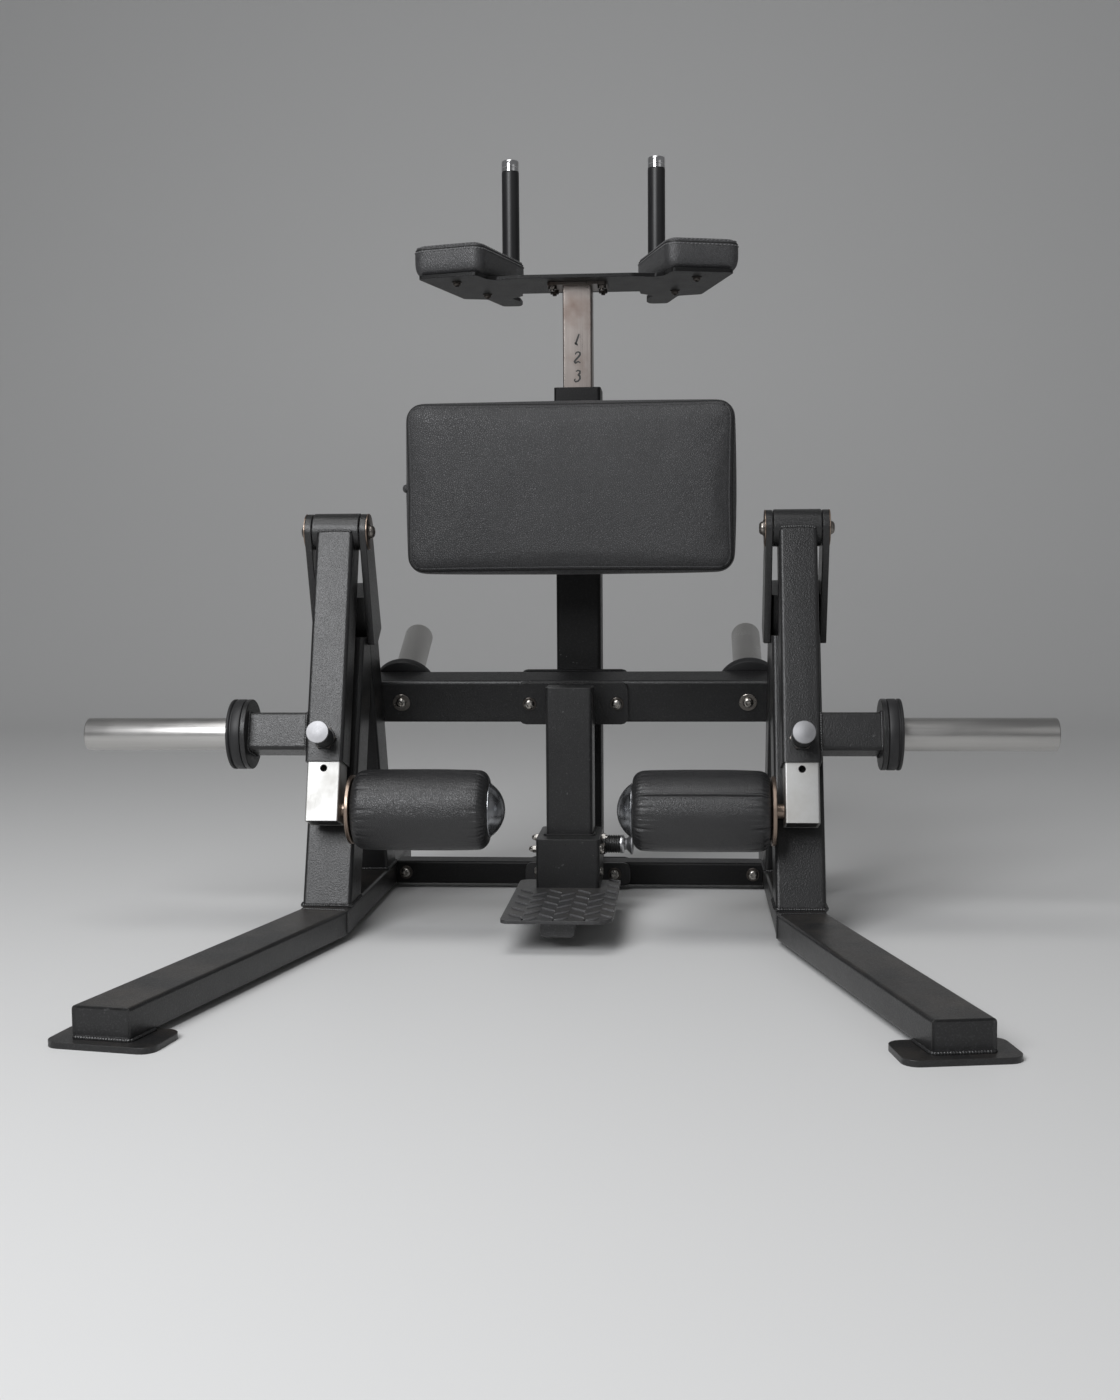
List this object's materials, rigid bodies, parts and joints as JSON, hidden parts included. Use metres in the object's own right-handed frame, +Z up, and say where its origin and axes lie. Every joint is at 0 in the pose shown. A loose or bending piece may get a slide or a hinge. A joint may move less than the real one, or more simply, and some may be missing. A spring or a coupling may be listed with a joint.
{
  "type": "standing hamstring machine",
  "caption": "Plate-loaded standing leg curl machine with independent swing arms, ankle rollers, thigh pad, height-set arm rest and step.",
  "frame": {"origin": "on the floor, at the middle of the machine's overall width and depth", "axes": "+Z up, +X to the user's right, +Y the way the user faces on the step"},
  "size_m": [1.468, 1.2892, 1.311],
  "materials": {
    "aluminium": "turned, bare",
    "bare_steel": "bare ground steel",
    "black_plastic": "matt black",
    "black_steel": "fine textured black powder coat",
    "chrome": "polished",
    "leather": "smooth black upholstery",
    "rubber": "matt black"
  },
  "bodies": {
    "base": {"base_cross_member": "black_steel", "collar_bush": "black_plastic", "left_arm_stop": "rubber", "left_floor_rail": "black_steel", "left_foot_plate": "black_steel", "left_front_post": "black_steel", "left_inner_ear": "black_steel", "left_outer_ear": "black_steel", "left_pivot_pin": "chrome", "left_rear_strut": "black_steel", "left_storage_bumper": "rubber", "left_storage_peg": "bare_steel", "pad_bracket": "black_steel", "pad_column": "black_steel", "right_arm_stop": "rubber", "right_floor_rail": "black_steel", "right_foot_plate": "black_steel", "right_front_post": "black_steel", "right_inner_ear": "black_steel", "right_outer_ear": "black_steel", "right_pivot_pin": "chrome", "right_rear_strut": "black_steel", "right_storage_bumper": "rubber", "right_storage_peg": "bare_steel", "step_column": "black_steel", "thigh_pad": "leather", "thigh_pad_board": "black_plastic", "upper_beam": "black_steel"},
    "left_arm": {"left_swing_arm": "black_steel", "left_horn": "black_steel", "left_bumper": "rubber", "left_weight_sleeve": "bare_steel"},
    "left_slider": {"left_slide_tube": "bare_steel", "left_roller_shaft": "bare_steel", "left_roller_cap": "chrome"},
    "left_roller_pad": {"left_roller": "leather"},
    "left_arm_pin": {"left_arm_pin_knob": "aluminium"},
    "right_arm": {"right_swing_arm": "black_steel", "right_horn": "black_steel", "right_bumper": "rubber", "right_weight_sleeve": "bare_steel"},
    "right_slider": {"right_slide_tube": "bare_steel", "right_roller_shaft": "bare_steel", "right_roller_cap": "chrome"},
    "right_roller_pad": {"right_roller": "leather"},
    "right_arm_pin": {"right_arm_pin_knob": "aluminium"},
    "arm_rest": {"rest_post": "bare_steel", "rest_plate": "black_steel", "left_arm_pad": "leather", "right_arm_pad": "leather", "left_handle": "aluminium", "right_handle": "aluminium", "left_grip": "rubber", "right_grip": "rubber"},
    "rest_pin": {"rest_pin_knob": "aluminium"},
    "step": {"step_sleeve": "black_steel", "step_liner": "black_plastic", "step_tread": "black_steel"},
    "step_pin": {"step_pin_knob": "aluminium"}
  },
  "joints": [
    {"name": "left_arm_swing", "type": "hinge", "parent": "base", "child": "left_arm", "pos_m": [-0.3575, 0.08705, 0.6169], "axis": [-1, 0, 0], "range_deg": [0, 120]},
    {"name": "left_ankle_slide", "type": "slide", "parent": "left_arm", "child": "left_slider", "axis": [0, -0.2899, -0.9571], "range_m": [-0.045, 0.09]},
    {"name": "left_roller_spin", "type": "hinge", "parent": "left_slider", "child": "left_roller_pad", "pos_m": [-0.3575, -0.04049, 0.19579], "axis": [1, 0, 0], "continuous": true},
    {"name": "left_arm_pin_pull", "type": "slide", "parent": "left_arm", "child": "left_arm_pin", "axis": [0, -0.9571, 0.2899], "range_m": [0, 0.012], "stiffness_N_per_m": 1500, "springref_m": -0.008},
    {"name": "right_arm_swing", "type": "hinge", "parent": "base", "child": "right_arm", "pos_m": [0.3575, 0.08705, 0.6169], "axis": [-1, 0, 0], "range_deg": [0, 120]},
    {"name": "right_ankle_slide", "type": "slide", "parent": "right_arm", "child": "right_slider", "axis": [0, -0.2899, -0.9571], "range_m": [-0.045, 0.09]},
    {"name": "right_roller_spin", "type": "hinge", "parent": "right_slider", "child": "right_roller_pad", "pos_m": [0.3575, -0.04049, 0.19579], "axis": [1, 0, 0], "continuous": true},
    {"name": "right_arm_pin_pull", "type": "slide", "parent": "right_arm", "child": "right_arm_pin", "axis": [0, -0.9571, 0.2899], "range_m": [0, 0.012], "stiffness_N_per_m": 1500, "springref_m": -0.008},
    {"name": "rest_height", "type": "slide", "parent": "base", "child": "arm_rest", "axis": [0, 0, 1], "range_m": [-0.0945, 0.126]},
    {"name": "rest_pin_pull", "type": "slide", "parent": "base", "child": "rest_pin", "axis": [0, 1, 0], "range_m": [0, 0.012], "stiffness_N_per_m": 1500, "springref_m": -0.008},
    {"name": "step_height", "type": "slide", "parent": "base", "child": "step", "axis": [0, 0, 1], "range_m": [0, 0.15]},
    {"name": "step_pin_pull", "type": "slide", "parent": "step", "child": "step_pin", "axis": [1, 0, 0], "range_m": [0, 0.012], "stiffness_N_per_m": 1500, "springref_m": -0.008}
  ]
}
